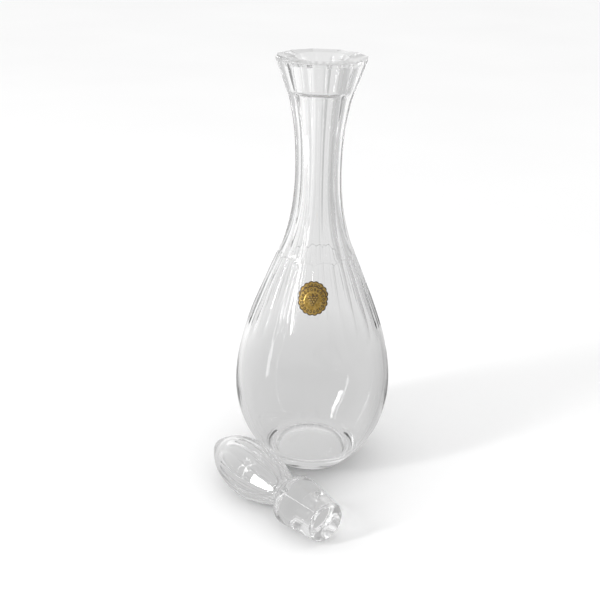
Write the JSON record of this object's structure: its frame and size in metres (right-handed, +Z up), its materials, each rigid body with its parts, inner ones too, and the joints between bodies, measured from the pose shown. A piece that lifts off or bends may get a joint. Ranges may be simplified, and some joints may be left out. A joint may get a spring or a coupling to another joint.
{
  "type": "wine decanter",
  "caption": "Tear-shaped cut glass wine decanter with a panelled neck, flared mouth and foil seals, its pointed stopper lying beside it.",
  "frame": {"origin": "centre of the bottle's flat foot, on the surface it stands on", "axes": "+Z up along the bottle's axis, -Y to the front where the foil seals are, +X to the right seen from the front"},
  "size_m": [0.1223, 0.1834, 0.29],
  "materials": {
    "clear_glass": "clear colourless polished cut glass",
    "gold_foil": "embossed gold foil with a dark printed edge"
  },
  "bodies": {
    "decanter": {"bottle": "clear_glass", "lower_seal": "gold_foil", "upper_seal": "gold_foil"},
    "loose_stopper": {"stopper": "clear_glass"}
  },
  "joints": [
    {"name": "stopper_lift", "type": "slide", "parent": "decanter", "child": "loose_stopper", "axis": [0, -0.6, 0.8], "range_m": [0, 0.3]}
  ]
}
